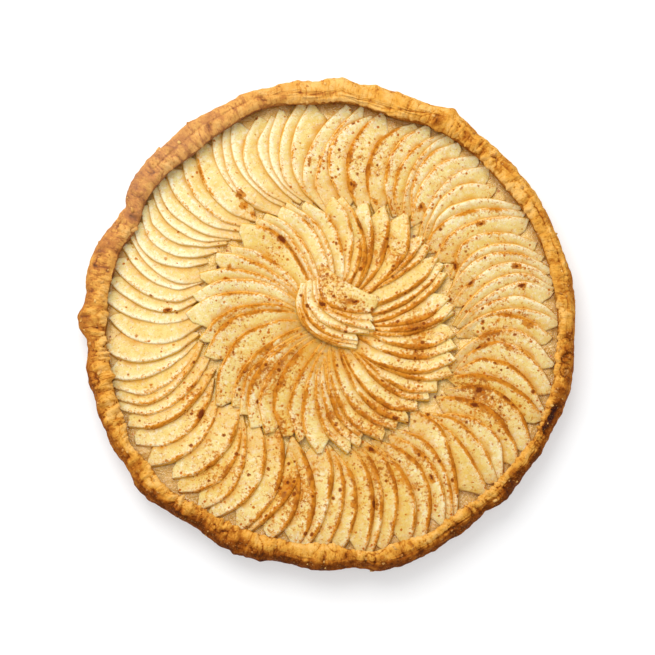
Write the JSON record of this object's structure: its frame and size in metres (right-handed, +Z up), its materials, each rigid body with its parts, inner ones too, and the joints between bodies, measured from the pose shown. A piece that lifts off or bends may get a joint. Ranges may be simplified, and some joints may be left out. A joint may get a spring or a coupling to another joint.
{
  "type": "apple tart",
  "caption": "Round open apple tart: a puff pastry shell with a folded rim, a bed of compote, and rings of thin fanned apple slices with a small fan in the middle.",
  "frame": {"origin": "middle of the flat underside of the pastry base", "axes": "+Z up out of the apples; +X to the right and +Y away when the tart is seen from above with its small middle fan's slices running from upper left to lower right"},
  "size_m": [0.2828, 0.2819, 0.0249],
  "materials": {
    "pastry": "baked puff pastry, golden brown and satin",
    "compote": "moist apple compote",
    "apple": "baked apple slices dusted with cinnamon"
  },
  "bodies": {
    "root": {"pastry_shell": "pastry", "compote": "compote", "outer_fan_01": "apple", "outer_fan_02": "apple", "outer_fan_03": "apple", "outer_fan_04": "apple", "outer_fan_05": "apple", "outer_fan_06": "apple", "outer_fan_07": "apple", "outer_fan_08": "apple", "outer_fan_09": "apple", "outer_fan_10": "apple", "outer_fan_11": "apple", "outer_fan_12": "apple", "outer_fan_13": "apple", "outer_fan_14": "apple", "outer_fan_15": "apple", "outer_fan_16": "apple", "inner_fan_01": "apple", "inner_fan_02": "apple", "inner_fan_03": "apple", "inner_fan_04": "apple", "inner_fan_05": "apple", "inner_fan_06": "apple", "inner_fan_07": "apple", "inner_fan_08": "apple", "inner_fan_09": "apple", "inner_fan_10": "apple", "centre_fan": "apple"}
  },
  "joints": []
}
